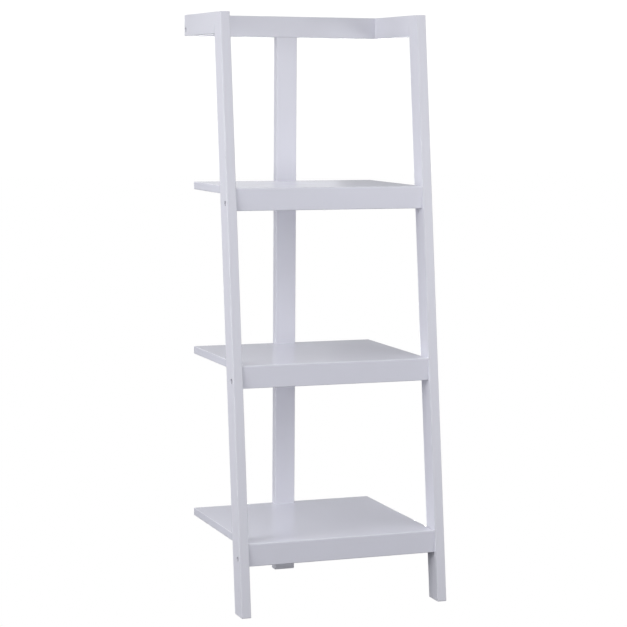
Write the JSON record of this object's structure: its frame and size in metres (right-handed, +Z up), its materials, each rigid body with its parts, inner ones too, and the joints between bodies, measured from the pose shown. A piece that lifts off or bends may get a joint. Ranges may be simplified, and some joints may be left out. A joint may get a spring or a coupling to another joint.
{
  "type": "ladder shelf",
  "caption": "Free-standing ladder shelf: leaning front legs and one rear leg carry open shelves with front aprons under a three-sided top rail, in white lacquered wood.",
  "frame": {"origin": "on the floor, under the middle of the overall box", "axes": "+Z up, +X to the right as seen from the front, +Y to the back; the front legs lean towards +Y as they rise"},
  "size_m": [0.444, 0.3938, 1.2],
  "materials": {
    "frame_lacquer": "white semi-gloss lacquer over sanded wood",
    "shelf_lacquer": "white semi-gloss lacquer over fibreboard",
    "grey_screw_steel": "grey phosphate, slightly oiled",
    "zinc_steel": "zinc plated",
    "beech_dowel": "bare fluted beech"
  },
  "bodies": {
    "root": {"front_leg_left": "frame_lacquer", "front_leg_right": "frame_lacquer", "rear_leg": "frame_lacquer", "side_rail_left": "frame_lacquer", "side_rail_right": "frame_lacquer", "back_rail": "frame_lacquer", "shelf_panel_bottom": "shelf_lacquer", "shelf_panel_middle": "shelf_lacquer", "shelf_panel_top": "shelf_lacquer", "front_apron_bottom": "shelf_lacquer", "front_apron_middle": "shelf_lacquer", "front_apron_top": "shelf_lacquer", "leg_bolts_left": "grey_screw_steel", "leg_bolts_right": "grey_screw_steel", "rail_bolts": "grey_screw_steel", "rear_leg_bolts": "grey_screw_steel", "apron_barrel_nuts_left": "zinc_steel", "apron_barrel_nuts_right": "zinc_steel", "rail_barrel_nuts": "zinc_steel", "panel_barrel_nuts": "zinc_steel", "apron_end_dowels_left": "beech_dowel", "apron_end_dowels_right": "beech_dowel", "leg_top_dowels_left": "beech_dowel", "leg_top_dowels_right": "beech_dowel", "rail_corner_dowels": "beech_dowel", "rear_leg_dowels": "beech_dowel", "panel_dowels_bottom": "beech_dowel", "panel_dowels_middle": "beech_dowel", "panel_dowels_top": "beech_dowel"}
  },
  "joints": []
}
